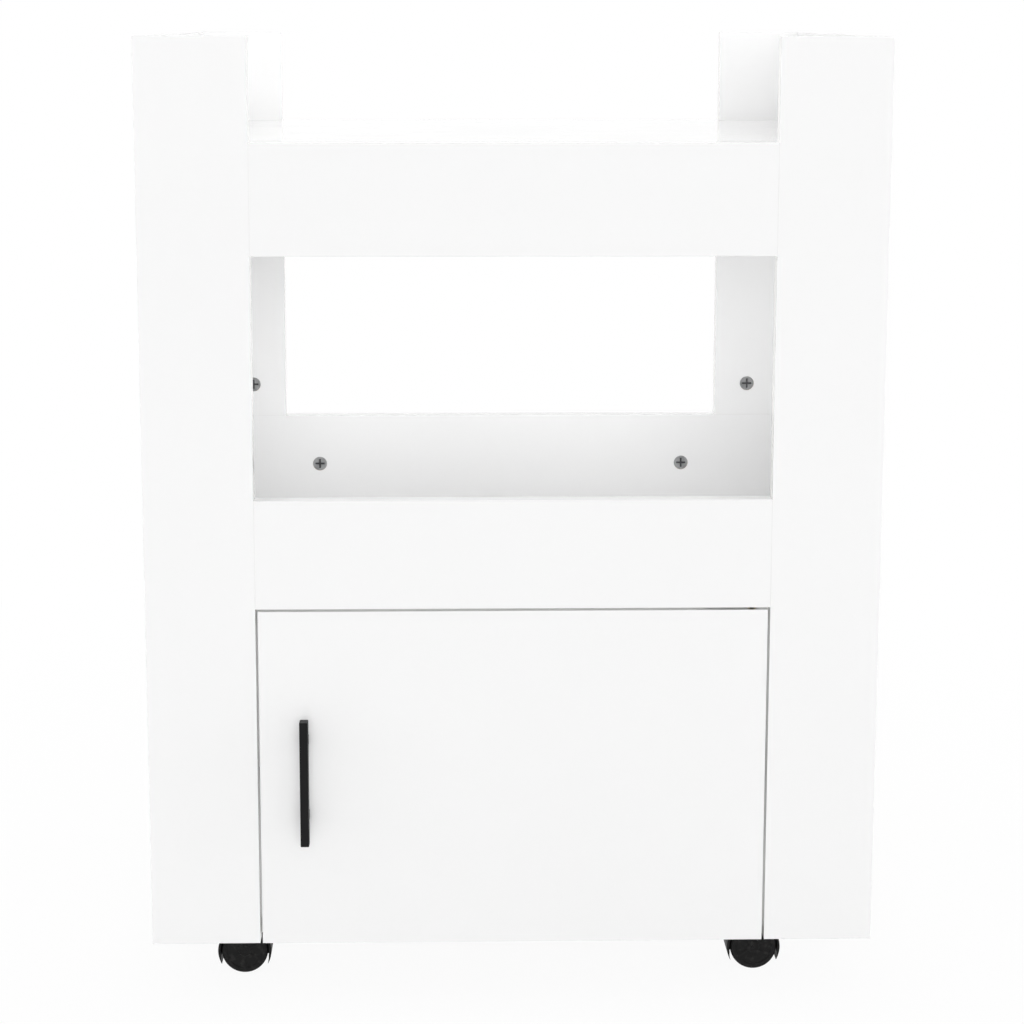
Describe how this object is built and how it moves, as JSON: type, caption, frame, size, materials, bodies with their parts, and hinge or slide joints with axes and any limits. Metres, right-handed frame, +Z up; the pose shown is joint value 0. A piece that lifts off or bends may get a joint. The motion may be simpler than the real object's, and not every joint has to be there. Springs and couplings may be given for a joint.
{
  "type": "microwave cart",
  "caption": "White high-gloss kitchen cart with a top tray, a see-through compartment, a cabinet with one inset door and swivel casters.",
  "frame": {"origin": "On the floor, under the middle of the whole cart's box, its door handle included", "axes": "+Z up; the door faces -Y; +X to the right when looking at the door"},
  "size_m": [0.6, 0.475, 0.8],
  "materials": {
    "gloss_board": "white high-gloss foil on particle board",
    "handle_black": "black, satin",
    "caster_black": "black nylon, half gloss",
    "wheel_black": "black nylon, worn tread",
    "steel": "zinc-plated",
    "cam_zinc": "die-cast zinc",
    "dowel_wood": "raw beech",
    "bush_brass": "turned",
    "catch_plastic": "white",
    "bumper_rubber": "clear soft"
  },
  "bodies": {
    "cart": {"side_panel_left": "gloss_board", "side_panel_right": "gloss_board", "front_post_left": "gloss_board", "front_post_right": "gloss_board", "rear_post_left": "gloss_board", "rear_post_right": "gloss_board", "front_upper_rail": "gloss_board", "front_lower_rail": "gloss_board", "rear_upper_rail": "gloss_board", "rear_lower_rail": "gloss_board", "top_board": "gloss_board", "middle_shelf": "gloss_board", "bottom_board": "gloss_board", "back_panel": "gloss_board", "back_cam_nuts": "cam_zinc", "rail_cam_nuts": "cam_zinc", "side_cam_nuts": "cam_zinc", "shelf_cam_nuts": "cam_zinc", "back_cam_bolts": "steel", "rail_cam_bolts": "steel", "side_cam_bolts": "steel", "shelf_cam_bolts": "steel", "wooden_dowels": "dowel_wood", "pivot_plate": "steel", "pivot_bracket": "steel", "pivot_screws": "steel", "magnet_catch": "catch_plastic", "catch_screws": "steel", "door_bumpers": "bumper_rubber", "caster_screws": "steel", "caster_plate_front_left": "steel", "caster_plate_front_right": "steel", "caster_plate_rear_left": "steel", "caster_plate_rear_right": "steel"},
    "door": {"door": "gloss_board", "door_handle": "handle_black", "handle_screws": "steel", "upper_bush": "bush_brass", "lower_bush": "bush_brass", "strike_plate": "steel", "strike_screws": "steel"},
    "caster_front_left": {"caster_housing_front_left": "caster_black", "axle_front_left": "steel"},
    "wheel_a_front_left": {"wheel_a_front_left": "wheel_black"},
    "wheel_b_front_left": {"wheel_b_front_left": "wheel_black"},
    "caster_front_right": {"caster_housing_front_right": "caster_black", "axle_front_right": "steel"},
    "wheel_a_front_right": {"wheel_a_front_right": "wheel_black"},
    "wheel_b_front_right": {"wheel_b_front_right": "wheel_black"},
    "caster_rear_left": {"caster_housing_rear_left": "caster_black", "axle_rear_left": "steel"},
    "wheel_a_rear_left": {"wheel_a_rear_left": "wheel_black"},
    "wheel_b_rear_left": {"wheel_b_rear_left": "wheel_black"},
    "caster_rear_right": {"caster_housing_rear_right": "caster_black", "axle_rear_right": "steel"},
    "wheel_a_rear_right": {"wheel_a_rear_right": "wheel_black"},
    "wheel_b_rear_right": {"wheel_b_rear_right": "wheel_black"}
  },
  "joints": [
    {"name": "door_hinge", "type": "hinge", "parent": "cart", "child": "door", "pos_m": [0.196, -0.2065, 0.19475], "axis": [0, 0, 1], "range_deg": [0, 90]},
    {"name": "swivel_front_left", "type": "hinge", "parent": "cart", "child": "caster_front_left", "pos_m": [-0.22, -0.1295, 0.05], "axis": [0, 0, 1], "continuous": true},
    {"name": "spin_a_front_left", "type": "hinge", "parent": "caster_front_left", "child": "wheel_a_front_left", "pos_m": [-0.2293, -0.1295, 0.02], "axis": [0, 1, 0], "continuous": true},
    {"name": "spin_b_front_left", "type": "hinge", "parent": "caster_front_left", "child": "wheel_b_front_left", "pos_m": [-0.2293, -0.1295, 0.02], "axis": [0, 1, 0], "continuous": true},
    {"name": "swivel_front_right", "type": "hinge", "parent": "cart", "child": "caster_front_right", "pos_m": [0.22, -0.1295, 0.05], "axis": [0, 0, 1], "continuous": true},
    {"name": "spin_a_front_right", "type": "hinge", "parent": "caster_front_right", "child": "wheel_a_front_right", "pos_m": [0.2107, -0.1295, 0.02], "axis": [0, 1, 0], "continuous": true},
    {"name": "spin_b_front_right", "type": "hinge", "parent": "caster_front_right", "child": "wheel_b_front_right", "pos_m": [0.2107, -0.1295, 0.02], "axis": [0, 1, 0], "continuous": true},
    {"name": "swivel_rear_left", "type": "hinge", "parent": "cart", "child": "caster_rear_left", "pos_m": [-0.22, 0.1545, 0.05], "axis": [0, 0, 1], "continuous": true},
    {"name": "spin_a_rear_left", "type": "hinge", "parent": "caster_rear_left", "child": "wheel_a_rear_left", "pos_m": [-0.2293, 0.1545, 0.02], "axis": [0, 1, 0], "continuous": true},
    {"name": "spin_b_rear_left", "type": "hinge", "parent": "caster_rear_left", "child": "wheel_b_rear_left", "pos_m": [-0.2293, 0.1545, 0.02], "axis": [0, 1, 0], "continuous": true},
    {"name": "swivel_rear_right", "type": "hinge", "parent": "cart", "child": "caster_rear_right", "pos_m": [0.22, 0.1545, 0.05], "axis": [0, 0, 1], "continuous": true},
    {"name": "spin_a_rear_right", "type": "hinge", "parent": "caster_rear_right", "child": "wheel_a_rear_right", "pos_m": [0.2107, 0.1545, 0.02], "axis": [0, 1, 0], "continuous": true},
    {"name": "spin_b_rear_right", "type": "hinge", "parent": "caster_rear_right", "child": "wheel_b_rear_right", "pos_m": [0.2107, 0.1545, 0.02], "axis": [0, 1, 0], "continuous": true}
  ]
}
